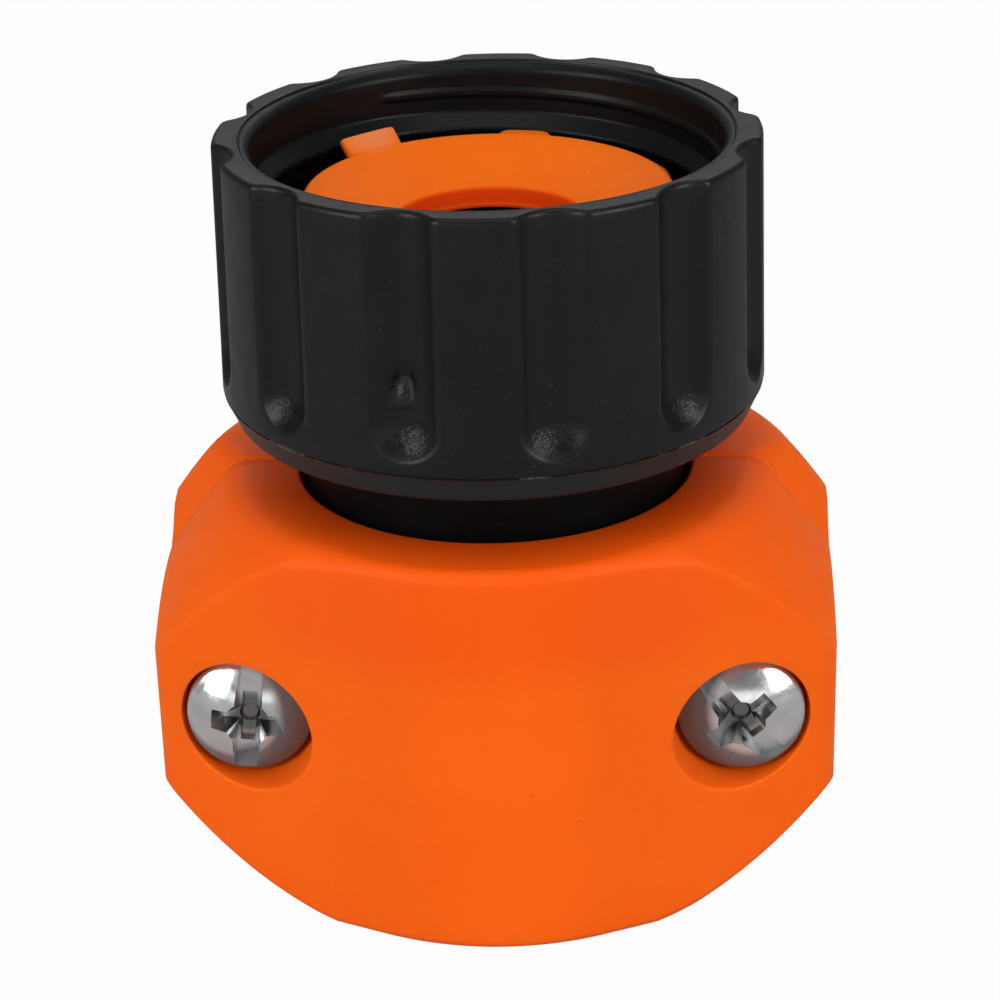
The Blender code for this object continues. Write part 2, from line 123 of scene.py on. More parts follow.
def put(name, vertices, faces, material, sharp=35):
    """A mesh object from vertices in millimetres, welded, faces outward, smooth but for its sharp edges."""
    mesh = bpy.data.meshes.new(name)
    mesh.from_pydata((np.asarray(vertices, float) * MM).tolist(), [], faces)
    work = bmesh.new()
    work.from_mesh(mesh)
    bmesh.ops.remove_doubles(work, verts=work.verts, dist=WELD_DISTANCE)
    bmesh.ops.recalc_face_normals(work, faces=work.faces)
    work.to_mesh(mesh)
    work.free()
    mesh.shade_smooth()
    mesh.set_sharp_from_angle(angle=radians(sharp))
    piece = bpy.data.objects.new(name, mesh)
    bpy.context.collection.objects.link(piece)
    if material:
        mesh.materials.append(material)
    return piece


def quads(rows, columns, closed):
    """Faces between rings of vertices, numbered ring by ring. closed joins the last ring to the first."""
    made = []
    for row in range(rows if closed else rows - 1):
        below = (row + 1) % rows
        for column in range(columns):
            beside = (column + 1) % columns
            made.append((row * columns + column, row * columns + beside,
                         below * columns + beside, below * columns + column))
    return made


def around(angles, radius, height):
    """Points at angles about the hose axis. angles and radius are arrays, height an array or a number."""
    return np.stack((radius * np.sin(angles), -radius * np.cos(angles), height + 0 * angles), axis=-1)


def smooth_step(value):
    """Eases from 0 to 1 as value goes from 0 to 1, and stays level outside that range."""
    value = np.clip(value, 0, 1)
    return value * value * (3 - 2 * value)


def rounded(corners, steps=5, closed=True):
    """Points (radius, height) of an outline whose corners (radius, height, rounding) are bent."""
    points = []
    count = len(corners)
    for index, (radius, height, rounding) in enumerate(corners):
        here = Vector((radius, height))
        inner = closed or 0 < index < count - 1
        if rounding <= 0 or not inner:
            points.append(tuple(here))
            continue
        before = Vector(corners[index - 1][:2]) - here
        after = Vector(corners[(index + 1) % count][:2]) - here
        reach = min(rounding, 0.49 * before.length, 0.49 * after.length)
        start = here + before.normalized() * reach
        end = here + after.normalized() * reach
        for step in range(steps + 1):
            share = step / steps
            bent = start * (1 - share) ** 2 + here * 2 * share * (1 - share) + end * share ** 2
            points.append(tuple(bent))
    return points


def lathe(profile, columns):
    """Vertices and faces of a closed profile turned about the hose axis."""
    angles = np.linspace(0, 2 * pi, columns, endpoint=False)
    rows = [around(angles, np.full(columns, radius), height) for radius, height in profile]
    return np.concatenate(rows), quads(len(profile), columns, True)


def settle(piece):
    """Replaces the piece's mesh by the result of its modifiers."""
    graph = bpy.context.evaluated_depsgraph_get()
    graph.update()
    mesh = bpy.data.meshes.new_from_object(piece.evaluated_get(graph))
    piece.modifiers.clear()
    piece.data = mesh


def combine(piece, other, operation):
    """Applies an exact boolean with the other object, which is removed."""
    modifier = piece.modifiers.new("combine", "BOOLEAN")
    modifier.operation = operation
    modifier.solver = "EXACT"
    modifier.object = other
    settle(piece)
    bpy.data.objects.remove(other, do_unlink=True)
    piece.data.set_sharp_from_angle(angle=radians(35))


def register(piece, node, body):
    """Lets the piece take the node's place and the body that it moves with."""
    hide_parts(node)
    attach(piece, body)


# Materials

# Places that the materials mark, in metres: the gate mark, the middle of the curled tab's painted light, the
# middle of the painted shade in the screws' cross and the middle of the shiny spot on each screw head, round
# which a grey reflection is painted. The last two stand for their mirror images as well.
GATE_MIDDLE = (-0.0045, -0.0154, 0.0354)
CURLED_TIP = (-0.0081, 0.0094, 0.0432)
RECESS_MIDDLE = (0.0147, 0.0093, 0.01245)
BRIGHT_MIDDLE = (0.0157, 0.0106, 0.0131)


def start_material(name):
    """A new material, its node tree and its main shader."""
    material = bpy.data.materials.new(name)
    material.use_nodes = True
    tree = material.node_tree
    return material, tree, tree.nodes["Principled BSDF"]


def texture_place(tree):
    """The place on the piece in the part's frame, in metres."""
    return tree.nodes.new("ShaderNodeTexCoord").outputs["Object"]


def noise(tree, where, scale, detail=3.0, roughness=0.55, distortion=0.0):
    """A cloudy pattern from 0 to 1, with scale cells a metre."""
    node = tree.nodes.new("ShaderNodeTexNoise")
    node.inputs["Scale"].default_value = scale
    node.inputs["Detail"].default_value = detail
    node.inputs["Roughness"].default_value = roughness
    node.inputs["Distortion"].default_value = distortion
    tree.links.new(where, node.inputs["Vector"])
    return node.outputs["Fac"]


def ramp(tree, value, low, high, low_colour, high_colour):
    """A colour that runs from one to the other as value goes from low to high."""
    node = tree.nodes.new("ShaderNodeValToRGB")
    node.color_ramp.elements[0].position = low
    node.color_ramp.elements[0].color = (*low_colour, 1)
    node.color_ramp.elements[1].position = high
    node.color_ramp.elements[1].color = (*high_colour, 1)
    tree.links.new(value, node.inputs["Fac"])
    return node.outputs["Color"]


def remap(tree, value, low, high, to_low, to_high):
    """Maps the range low to high on to another range and stays level outside it."""
    node = tree.nodes.new("ShaderNodeMapRange")
    node.inputs["From Min"].default_value = low
    node.inputs["From Max"].default_value = high
    node.inputs["To Min"].default_value = to_low
    node.inputs["To Max"].default_value = to_high
    tree.links.new(value, node.inputs["Value"])
    return node.outputs["Result"]


def bump(tree, height, depth, strength, under=None):
    """A normal that a height pattern disturbs, on top of another such normal where one is given."""
    node = tree.nodes.new("ShaderNodeBump")
    node.inputs["Distance"].default_value = depth
    node.inputs["Strength"].default_value = strength
    tree.links.new(height, node.inputs["Height"])
    if under:
        tree.links.new(under, node.inputs["Normal"])
    return node.outputs["Normal"]


def mix_colour(tree, share, first, second):
    """Mixes two colours, each a socket or three numbers. A share of 1 gives the second."""
    node = tree.nodes.new("ShaderNodeMix")
    node.data_type = "RGBA"
    tree.links.new(share, node.inputs["Factor"])
    for socket, colour in (("A", first), ("B", second)):
        target = [item for item in node.inputs if item.name == socket and item.type == "RGBA"][0]
        if isinstance(colour, tuple):
            target.default_value = (*colour, 1)
        else:
            tree.links.new(colour, target)
    return [item for item in node.outputs if item.type == "RGBA"][0]


def arithmetic(tree, operation, *values):
    """A math node on sockets and plain numbers."""
    node = tree.nodes.new("ShaderNodeMath")
    node.operation = operation
    for socket, value in zip(node.inputs, values):
        if isinstance(value, (int, float)):
            socket.default_value = value
        else:
            tree.links.new(value, socket)
    return node.outputs[0]


def distance_to(tree, where, point):
    """How far a place lies from a fixed point, in metres."""
    away = tree.nodes.new("ShaderNodeVectorMath")
    away.operation = "DISTANCE"
    away.inputs[1].default_value = point
    tree.links.new(where, away.inputs[0])
    return away.outputs["Value"]


def polar(tree, where):
    """The place along X, the height and the distance from the hose axis."""
    split = tree.nodes.new("ShaderNodeSeparateXYZ")
    tree.links.new(where, split.inputs[0])
    x, y, z = split.outputs
    squares = arithmetic(tree, "MULTIPLY_ADD", x, x, arithmetic(tree, "MULTIPLY", y, y))
    return x, z, arithmetic(tree, "SQRT", squares)


def nut_masks(tree, where, z, radius):
    """Where the flutes' lower ends and the gate mark are, and where the bevel's upper edge is worn pale."""
    sunk = arithmetic(tree, "MULTIPLY", remap(tree, radius, 0.0154, 0.0160, 1, 0),
                      remap(tree, radius, 0.0148, 0.0150, 0, 1))
    low = arithmetic(tree, "MULTIPLY", remap(tree, z, 0.0325, 0.0342, 1, 0),
                     remap(tree, z, 0.0308, 0.0312, 0, 1))
    ends = arithmetic(tree, "MULTIPLY", sunk, low)
    gate = remap(tree, distance_to(tree, where, GATE_MIDDLE), 0.0009, 0.0011, 1, 0)
    ends = arithmetic(tree, "MAXIMUM", ends, gate)
    edge = arithmetic(tree, "MULTIPLY", remap(tree, z, 0.03052, 0.03056, 0, 1),
                      remap(tree, z, 0.03064, 0.03068, 1, 0))
    patches = remap(tree, noise(tree, where, 240, 4, 0.7), 0.54, 0.60, 0, 0.9)
    return ends, arithmetic(tree, "MULTIPLY", edge, patches)


def black_plastic():
    """Satin moulded plastic with a fine skin, faint clouding and a little pale dust.

    Painted light and shade: the bevel under the nut is painted paler and bluer against the orange light that
    bounces on it, the stem and collar below the nut are painted blacker as shade, and the bore is painted
    bluer as shade.
    All of them, and the sides of the ledge in the bore, get weaker reflections as painted shade. The flutes'
    lower ends and the gate mark are torn and shinier.
    """
    material, tree, shader = start_material("black_plastic")
    where = texture_place(tree)
    cloud = noise(tree, where, 260, 4)
    skin = noise(tree, where, 9000, 2, 0.6)
    dust = noise(tree, where, 6800, 1, 0.4)
    base = ramp(tree, cloud, 0.3, 0.7, (0.0026, 0.0026, 0.0027), (0.0044, 0.0044, 0.0046))
    speck = remap(tree, dust, 0.755, 0.80, 0, 0.3)
    dusted = mix_colour(tree, speck, base, (0.14, 0.14, 0.135))
    x, height, radius = polar(tree, where)
    ends, worn = nut_masks(tree, where, height, radius)
    bevel = arithmetic(tree, "MULTIPLY", remap(tree, height, 0.0288, 0.0290, 0, 1),
                       remap(tree, height, 0.0304, 0.0306, 1, 0))
    bore = arithmetic(tree, "MULTIPLY", remap(tree, height, 0.0385, 0.0390, 0, 1),
                      remap(tree, radius, 0.0140, 0.0142, 1, 0))
    # Painted light: the bevel band is painted paler and bluer, cancelling the orange light that bounces on it
    # from the clamp.
    bevel_painted_light = mix_colour(tree, bevel, dusted, (0.0110, 0.0168, 0.0174))
    # Painted shade: below the nut's foot the stem and collar are painted blacker, standing for the shade
    # under the nut.
    collar = remap(tree, height, 0.0284, 0.0286, 0.8, 0)
    collar_painted_shade = mix_colour(tree, collar, bevel_painted_light, (0.0010, 0.0018, 0.0019))
    # Painted shade: the bore above the washer is painted a bluer black, cancelling the orange light that
    # bounces on its shaded wall.
    bore_painted_shade = mix_colour(tree, bore, collar_painted_shade, (0.0024, 0.0036, 0.0038))
    tree.links.new(mix_colour(tree, worn, bore_painted_shade, (0.09, 0.09, 0.09)), shader.inputs["Base Color"])
    satin = remap(tree, noise(tree, where, 900, 5, 0.65), 0.3, 0.7, 0.34, 0.44)
    tree.links.new(arithmetic(tree, "MULTIPLY_ADD", ends, -0.17, satin), shader.inputs["Roughness"])
    fine = bump(tree, skin, 0.00003, 0.35)
    rough = arithmetic(tree, "MULTIPLY", ends, noise(tree, where, 3200, 3, 0.65))
    torn = bump(tree, rough, 0.00016, 0.75, fine)
    tree.links.new(bump(tree, cloud, 0.00008, 0.25, torn), shader.inputs["Normal"])
    # Painted shade in the reflections: the stem and collar below the nut, the bevel and the bore reflect
    # less, and the ledge in the bore reflects less at its sides than in its middle.
    gloss_with_painted_shade = remap(tree, height, 0.0284, 0.0290, 0.07, 0.24)
    dimmed = arithmetic(tree, "MULTIPLY_ADD", bevel, -0.12, gloss_with_painted_shade)
    shine = arithmetic(tree, "MULTIPLY_ADD", bore, -0.08, dimmed)
    ledge = arithmetic(tree, "MULTIPLY", bore, remap(tree, height, 0.0398, 0.0402, 1, 0))
    aside = remap(tree, arithmetic(tree, "ABSOLUTE", x), 0.0030, 0.0075, 0, 0.85)
    ledge_painted_shade = arithmetic(tree, "MULTIPLY_ADD", arithmetic(tree, "MULTIPLY", ledge, aside), -1.0, 1.0)
    tree.links.new(arithmetic(tree, "MULTIPLY", shine, ledge_painted_shade), shader.inputs["Specular IOR Level"])
    return material


def orange_plastic():
    """Moulded plastic with a satin skin, soft mottling and scattered light, and a redder painted shade near
    the collar.
    """
    material, tree, shader = start_material("orange_plastic")
    where = texture_place(tree)
    cloud = noise(tree, where, 120, 4, 0.5, 0.4)
    skin = noise(tree, where, 7000, 2, 0.6)
    ripple = noise(tree, where, 420, 3)
    base = ramp(tree, cloud, 0.25, 0.75, (0.88, 0.118, 0.0035), (0.93, 0.132, 0.0050))
    speck = remap(tree, noise(tree, where, 3600, 1, 0.4), 0.75, 0.80, 0, 0.3)
    specked = mix_colour(tree, speck, base, (0.55, 0.060, 0.004))
    height, radius = polar(tree, where)[1:]
    # Painted shade: the clamp's top round the collar is painted a redder orange for the shade and bounced
    # light under the nut.
    painted_nut_shade = arithmetic(tree, "MULTIPLY", remap(tree, radius, 0.0118, 0.0185, 0.95, 0.15),
                           remap(tree, height, 0.0168, 0.0198, 0, 1))
    tree.links.new(mix_colour(tree, painted_nut_shade, specked, (0.85, 0.074, 0.0023)), shader.inputs["Base Color"])
    tree.links.new(remap(tree, ripple, 0.3, 0.7, 0.42, 0.56), shader.inputs["Roughness"])
    fine = bump(tree, skin, 0.00003, 0.3)
    tree.links.new(bump(tree, ripple, 0.00012, 0.18, fine), shader.inputs["Normal"])
    shader.inputs["Specular IOR Level"].default_value = 0.10
    shader.inputs["Subsurface Weight"].default_value = 0.35
    shader.inputs["Subsurface Radius"].default_value = (0.0018, 0.0005, 0.0002)
    shader.inputs["Subsurface Scale"].default_value = 1.0
    return material


def orange_rubber():
    """Soft smooth rubber that scatters light, with painted shade down its hole and painted light at the
    curled tab.
    """
    material, tree, shader = start_material("orange_rubber")
    where = texture_place(tree)
    cloud = noise(tree, where, 180, 3)
    skin = noise(tree, where, 5200, 2, 0.6)
    base = ramp(tree, cloud, 0.25, 0.75, (0.94, 0.150, 0.0050), (0.98, 0.165, 0.0068))
    speck = remap(tree, noise(tree, where, 5600, 1, 0.4), 0.77, 0.80, 0, 0.5)
    specked = mix_colour(tree, speck, base, (0.95, 0.55, 0.38))
    # Painted light: the curled tab is painted paler, standing for light shining through the rubber.
    thin = remap(tree, distance_to(tree, where, CURLED_TIP), 0.0016, 0.0026, 1, 0)
    # Painted shade: the wall of the hole is painted a redder orange, standing for the shade down the hole.
    hole = remap(tree, polar(tree, where)[2], 0.00562, 0.00578, 0.9, 0)
    redder = mix_colour(tree, hole, specked, (0.74, 0.050, 0.0020))
    tree.links.new(mix_colour(tree, thin, redder, (0.80, 0.22, 0.070)), shader.inputs["Base Color"])
    tree.links.new(remap(tree, cloud, 0.3, 0.7, 0.40, 0.50), shader.inputs["Roughness"])
    tree.links.new(bump(tree, skin, 0.00003, 0.3), shader.inputs["Normal"])
    shader.inputs["Specular IOR Level"].default_value = 0.03
    shader.inputs["Subsurface Weight"].default_value = 0.30
    shader.inputs["Subsurface Radius"].default_value = (0.0022, 0.0007, 0.0002)
    shader.inputs["Subsurface Scale"].default_value = 1.0
    return material


def bright_steel():
    """Zinc plated steel with fine tumbling marks, a painted grey reflection off its shiny spots and painted
    shade in the cross.
    """
    material, tree, shader = start_material("bright_steel")
    where = texture_place(tree)
    marks = noise(tree, where, 1500, 4, 0.7, 1.2)
    base = ramp(tree, noise(tree, where, 500, 3), 0.3, 0.7, (0.62, 0.62, 0.63), (0.76, 0.76, 0.76))
    mirrored = tree.nodes.new("ShaderNodeVectorMath")
    mirrored.operation = "ABSOLUTE"
    tree.links.new(where, mirrored.inputs[0])
    spot = mirrored.outputs["Vector"]
    # Painted shade: round the middle of each head's cross the steel is painted a dark grey, as shade down the
    # recess.
    recess_painted_shade = remap(tree, distance_to(tree, spot, RECESS_MIDDLE), 0.0011, 0.0018, 0.9, 0)
    # Painted reflection: away from a shiny spot on each head's outer upper part the steel is painted as a
    # matt, non-metal grey, standing for a grey reflection in place of the orange pocket round it.
    painted_dull_zone = remap(tree, distance_to(tree, spot, BRIGHT_MIDDLE), 0.0026, 0.0032, 0, 1)
    recess_shaded = mix_colour(tree, recess_painted_shade, base, (0.16, 0.16, 0.16))
    tree.links.new(mix_colour(tree, painted_dull_zone, recess_shaded, (0.16, 0.182, 0.188)), shader.inputs["Base Color"])
    tree.links.new(remap(tree, painted_dull_zone, 0, 1, 1, 0), shader.inputs["Metallic"])
    tree.links.new(remap(tree, painted_dull_zone, 0, 1, 0.5, 0.15), shader.inputs["Specular IOR Level"])
    tree.links.new(remap(tree, marks, 0.3, 0.75, 0.15, 0.27), shader.inputs["Roughness"])
    tree.links.new(bump(tree, marks, 0.00005, 0.18), shader.inputs["Normal"])
    return material


# Swivel nut

FLUTES = 12
FLUTE_HALF_WIDTH = 1.95
FLUTE_DEPTH = 1.0
FLUTE_NOSE = NUT_FOOT + 2.5 + FLUTE_HALF_WIDTH
FLUTE_SOFTNESS = 0.16
GATE_ANGLE = radians(-16.1)
GATE_HEIGHT = 35.4
RIM_FILLET = 0.36

# The inner thread starts at this angle and height and sinks for this many turns. It has a nick at the back.
THREAD_PITCH = 2.209
THREAD_START = radians(-147)
THREAD_START_HEIGHT = 43.95
THREAD_TURNS = 1.42
NICK_ANGLE = radians(163)
NICK_HALF_ANGLE = radians(5)
NICK_HEIGHT = 42.55
NICK_HALF_HEIGHT = 0.12


def flute_depth(angles, wall, heights):
    """How far the flutes sink into the nut's wall, with softened edges."""
    step = 2 * pi / FLUTES
    across = wall * (np.mod(angles, step) - step / 2)
    along = np.maximum(0, FLUTE_NOSE - heights)
    away = np.hypot(across, along)
    radius = (FLUTE_HALF_WIDTH ** 2 + FLUTE_DEPTH ** 2) / (2 * FLUTE_DEPTH)
    middle = radius - FLUTE_DEPTH
    inside = np.sqrt(np.maximum(radius ** 2 - np.minimum(away, FLUTE_HALF_WIDTH) ** 2, 0)) - middle
    depth = inside - FLUTE_HALF_WIDTH / middle * np.maximum(0, away - FLUTE_HALF_WIDTH)
    softened = 0.5 * (depth + np.sqrt(depth ** 2 + FLUTE_SOFTNESS ** 2))
    return softened - 0.25 * FLUTE_SOFTNESS ** 2 / (np.abs(depth) + FLUTE_SOFTNESS)


def gate_mark(angles, heights, radius):
    """The oval dish that the moulding gate leaves in one flute. Its torn floor rises proud at the bottom."""
    across = radius * (angles - GATE_ANGLE)
    along = heights - GATE_HEIGHT
    away = np.hypot(across / 0.72, along / 0.98)
    floor = -0.15 - 0.27 * along - 0.12 * smooth_step((-0.1 - across) / 0.5)
    return floor * smooth_step((1.18 - away) / 0.26)


def thread_height(angles, heights):
    """How far the inner thread stands out of the bore. It fades in at the mouth and sinks clockwise."""
    total = np.zeros_like(angles)
    first = np.mod(THREAD_START - angles, 2 * pi) / (2 * pi)
    for turn in (0, 1):
        turns = first + turn
        middle = THREAD_START_HEIGHT - THREAD_PITCH * turns
        tall = (0.12 + 0.72 * smooth_step((turns - 0.15) / 0.75)) * smooth_step(turns / 0.02)
        tall = tall * smooth_step((THREAD_TURNS - turns) / 0.05)
        flank = 0.05 + 0.98 * tall
        crest = 0.17 - 0.05 * tall
        ridge = tall * np.clip((crest + flank - np.abs(heights - middle)) / flank, 0, 1)
        total = np.maximum(total, ridge)
    nick_across = np.abs(angles - NICK_ANGLE) < NICK_HALF_ANGLE
    nick_along = np.abs(heights - NICK_HEIGHT) < NICK_HALF_HEIGHT
    return np.where(nick_across & nick_along, total * 0.45, total)


def make_nut(material):
    """Rings of points from the nut's lip over the bevel and flutes to the rim, then down its bore."""
    columns = 432
    angles = np.linspace(-pi, pi, columns, endpoint=False)
    ones = np.ones(columns)
    rows = []

    def ring(radius, height):
        rows.append(around(angles, radius * ones, height))

    def wall(height):
        base = NUT_RADIUS - NUT_TAPER * (height - NUT_FOOT) / (NUT_TOP - NUT_FOOT)
        return base - flute_depth(angles, base, height * ones) + gate_mark(angles, height * ones, base)

    for radius, height in ((9.45, 29.0), (11.0, 29.0), (13.0, 29.0), (15.2, 29.0), (15.42, 29.04),
                           (15.55, 29.16), (15.62, 29.32), (15.86, 29.9), (16.14, 30.52), (16.19, 30.60),
                           (16.12, 30.645), (16.12, 30.70), (16.20, 30.745)):
        ring(radius, height)
    for height in np.concatenate((np.linspace(30.8, 34.6, 30), np.linspace(34.75, 36.2, 10),
                                  np.linspace(36.8, NUT_TOP - RIM_FILLET, 18))):
        ring(wall(height), height)
    top = wall(NUT_TOP - RIM_FILLET)
    for bend in np.linspace(0, pi / 2, 7)[1:]:
        ring(top - RIM_FILLET * (1 - cos(bend)), NUT_TOP - RIM_FILLET * (1 - sin(bend)))
    for share in (0.35, 0.7):
        ring((top - RIM_FILLET) * (1 - share) + NUT_MOUTH_RADIUS * share, NUT_TOP)
    for radius, drop in ((NUT_MOUTH_RADIUS, 0), (14.47, 0.02), (14.45, 0.17), (14.40, 0.20), (14.36, 0.17),
                         (14.30, 0.14), (14.20, 0.17), (14.02, 0.33), (13.88, 0.48), (13.81, 0.62)):
        ring(radius, NUT_TOP - drop)
    for height in np.linspace(NUT_TOP - 0.78, 40.5, 52):
        ring(NUT_BORE_RADIUS - thread_height(angles, height * ones), height)
    for height in (39.5, 37.0, 34.0, 32.0):
        ring(NUT_BORE_RADIUS, height)
    for radius, height in ((13.72, 31.62), (13.45, 31.42), (13.0, 31.4), (11.5, 31.4), (9.5, 31.4),
                           (9.36, 31.34), (9.3, 31.2), (9.3, 30.2), (9.3, 29.18), (9.36, 29.05)):
        ring(radius, height)
    piece = put("nut_shell", np.concatenate(rows), quads(len(rows), columns, True), material, 50)
    register(piece, "swivel_nut", "nut")


# Clamp halves

def corner_centre():
    """The middle of a wing's rounded corner, as (x, depth from the parting)."""
    x = WING_REACH - WING_CORNER_ROUND
    y = (FRONT_RADIUS - WING_CORNER_ROUND - x * sin(WING_SLANT)) / cos(WING_SLANT)
    return Vector((x, y))


def corner_angles():
    """The angles at which a wing's rounded corner starts and ends."""
    centre = corner_centre()
    start = centre + WING_CORNER_ROUND * Vector((sin(WING_SLANT), cos(WING_SLANT)))
    end = centre + Vector((WING_CORNER_ROUND, 0))
    return atan2(start.x, start.y), atan2(end.x, end.y)


def plan_radius(angle):
    """Distance from the hose axis to the clamp's outline, at an angle from the middle of a half."""
    angle = abs(angle)
    if angle <= WING_SLANT:
        return FRONT_RADIUS
    direction = Vector((sin(angle), cos(angle)))
    first, last = corner_angles()
    if first < angle < last:
        centre = corner_centre()
        along = centre.dot(direction)
        across = centre.length_squared - along ** 2
        return along + sqrt(WING_CORNER_ROUND ** 2 - across)
    to_slant = FRONT_RADIUS / direction.dot(Vector((sin(WING_SLANT), cos(WING_SLANT))))
    return min(to_slant, WING_REACH / direction.x)


def upper_start(angle, side):
    """Radius where the flat top gives way to the upper shoulder, wider on the rear half near the parting."""
    widest = UPPER_START_SIDE
    if side > 0:
        widest += REAR_START_GAIN * smooth_step((pi / 2 - abs(angle)) / REAR_START_ONSET)
    return 1 / hypot(sin(angle) / widest, cos(angle) / UPPER_START)


def shoulder(angle, start, first_slope, top_round):
    """Points (radius, height) from the wall over the bent shoulder to the flat top, both edges rounded."""
    bend_radius = start - SHOULDER_BEND * sin(first_slope)
    bend_height = CLAMP_HEIGHT - SHOULDER_BEND * cos(first_slope)
    outer = plan_radius(angle) - CLAMP_EDGE_ROUND
    inner_bend = SHOULDER_BEND - CLAMP_EDGE_ROUND
    high = acos((CLAMP_HEIGHT - top_round - bend_height) / (SHOULDER_BEND - top_round))
    low = max(high, asin((outer - bend_radius) / inner_bend))
    shift = min(0, outer - bend_radius - inner_bend * sin(low))
    lower_centre = (bend_radius + shift + inner_bend * sin(low), bend_height + inner_bend * cos(low))
    bend_centre = (bend_radius + shift, bend_height)
    upper_centre = (bend_radius + shift + (SHOULDER_BEND - top_round) * sin(high), CLAMP_HEIGHT - top_round)
    points = []
    for centre, radius, first, last, steps in ((lower_centre, CLAMP_EDGE_ROUND, pi / 2, low, 6),
                                               (bend_centre, SHOULDER_BEND, low, high, 9),
                                               (upper_centre, top_round, high, 0, 9)):
        for step in range(1 if points else 0, steps + 1):
            slope = first + (last - first) * step / steps
            points.append((centre[0] + radius * sin(slope), centre[1] + radius * cos(slope)))
    return points


# The grid of faces round each screw's pocket, which the pocket's rings replace, and where it lies on the wall
BLOCK_COLUMNS = 34
BLOCK_ROWS = 28
BLOCK_SIDE = (9.85, 19.3)
BLOCK_HEIGHT = (7.55, 17.2)
ROWS_BESIDE_BLOCK = 3


def half_stations():
    """Angles across a half that hold the columns of each pocket's block, and where those two blocks start."""
    def slanted(x):
        return atan2(x, (FRONT_RADIUS - x * sin(WING_SLANT)) / cos(WING_SLANT))

    first, last = corner_angles()
    block = [slanted(x) for x in np.linspace(*BLOCK_SIDE, BLOCK_COLUMNS + 1)]
    right = list(np.linspace(0, WING_SLANT, 13)) + list(np.linspace(WING_SLANT, block[0], 6))[1:]
    start = len(right) - 1
    right += block[1:] + list(np.linspace(first, last, 11)) + list(np.linspace(last, pi / 2, 7))[1:]
    angles = [-angle for angle in reversed(right[1:])] + right
    middle = len(right) - 1
    return angles, (middle - start - BLOCK_COLUMNS, middle + start)


def cavity():
    """Points (radius, height) down the inside of a half: the stem's groove, then the hose channel's ribs."""
    corners = [(11.9, CLAMP_HEIGHT, 0.25), (11.9, 22.7, 0.15), (12.9, 22.7, 0.1), (12.9, 20.3, 0.1),
               (11.2, 20.3, 0.25)]
    for rib in reversed(range(4)):
        middle = 3.0 + 4.0 * rib
        corners += [(11.2, middle + 0.62, 0.15), (10.6, middle, 0.12), (11.2, middle - 0.62, 0.15)]
    corners += [(11.2, 0.6, 0.1), (11.8, 0, 0.15)]
    return rounded([(20, CLAMP_HEIGHT, 0)] + corners + [(20, 0, 0)], 3, False)[1:-1]


def section(angle, side, inset):
    """One outline (radius, height) of a half: underside, wall rows, upper shoulder, then the cavity."""
    softened = smooth_step((abs(angle) - radians(22)) / radians(26))
    top_round = CLAMP_EDGE_ROUND + TOP_EDGE_SOFTENING * softened
    upper = shoulder(angle, upper_start(angle, side), UPPER_SLOPE, top_round)
    lower = [(radius, CLAMP_HEIGHT - height) for radius, height in
             reversed(shoulder(angle, LOWER_START, LOWER_SLOPE, CLAMP_EDGE_ROUND))]
    wall = plan_radius(angle)
    low, high = BLOCK_HEIGHT
    high = min(high, upper[0][1] - 0.3)
    rows = list(np.linspace(lower[-1][1], low, ROWS_BESIDE_BLOCK + 1))[1:]
    rows += list(np.linspace(low, high, BLOCK_ROWS + 1))[1:]
    rows += list(np.linspace(high, upper[0][1], ROWS_BESIDE_BLOCK + 1))[1:-1]
    outline = lower + [(wall, height) for height in rows] + upper + cavity()
    if not inset:
        return outline
    points = np.array(outline)
    edge = np.roll(points, -1, 0) - np.roll(points, 1, 0)
    length = np.maximum(np.hypot(edge[:, 0], edge[:, 1]), 1e-9)
    inward = np.stack((-edge[:, 1], edge[:, 0]), axis=1) / length[:, None]
    return (points + inset * inward).tolist()


def pocket_radius(turned, hexagonal, radius):
    """How far the pocket's wall lies from its middle, towards the angles turned."""
    if not hexagonal:
        return radius
    off = np.mod(turned + pi / 6, pi / 3) - pi / 6
    return radius / np.cos(np.clip(off, -radians(28.5), radians(28.5)))


def pocket_rings(border, centre, side, hexagonal):
    """Rings of points from a block's border over the lip, down the pocket's wall and chamfer to its floor."""
    radius = HEX_POCKET_APOTHEM if hexagonal else POCKET_RADIUS
    floor = HEX_SEAT if hexagonal else HEAD_SEAT
    lip = 0.30 if hexagonal else 0.16
    wide, tall = (0.25, 0.25) if hexagonal else (0.30, 1.15)
    turned = np.arctan2(border[:, 2] - centre[1], border[:, 0] - centre[0])
    reach = pocket_radius(turned, hexagonal, radius)

    def at(distance):
        return centre[0] + distance * np.cos(turned), centre[1] + distance * np.sin(turned)

    def skin(x):
        return (FRONT_RADIUS - np.abs(x) * sin(WING_SLANT)) / cos(WING_SLANT) + PARTING_GAP / 2

    rings = []
    outer_x, outer_z = at(reach + lip)
    for share in (0.4, 0.7, 0.88, 1.0):
        x = border[:, 0] * (1 - share) + outer_x * share
        z = border[:, 2] * (1 - share) + outer_z * share
        rings.append((x, skin(x), z))
    for bend in np.linspace(0, pi / 2, 7)[1:]:
        x, z = at(reach + lip * (1 - sin(bend)))
        rings.append((x, skin(x) - lip * (1 - cos(bend)), z))
    x, z = at(reach)
    edge = skin(x) - lip
    for share in (0.25, 0.5, 0.75, 1.0):
        rings.append((x, edge * (1 - share) + (floor + tall) * share, z))
    for share in (0.25, 0.5, 0.75, 1.0):
        x, z = at(reach - wide * share)
        rings.append((x, floor + tall * (1 - share) + 0 * x, z))
    for share in (0.5, 1.0):
        x, z = at((reach - wide) * (1 - share) + 1.2 * share)
        rings.append((x, floor + 0 * x, z))
    return [np.stack((x, side * depth, z), axis=1) for x, depth, z in rings]


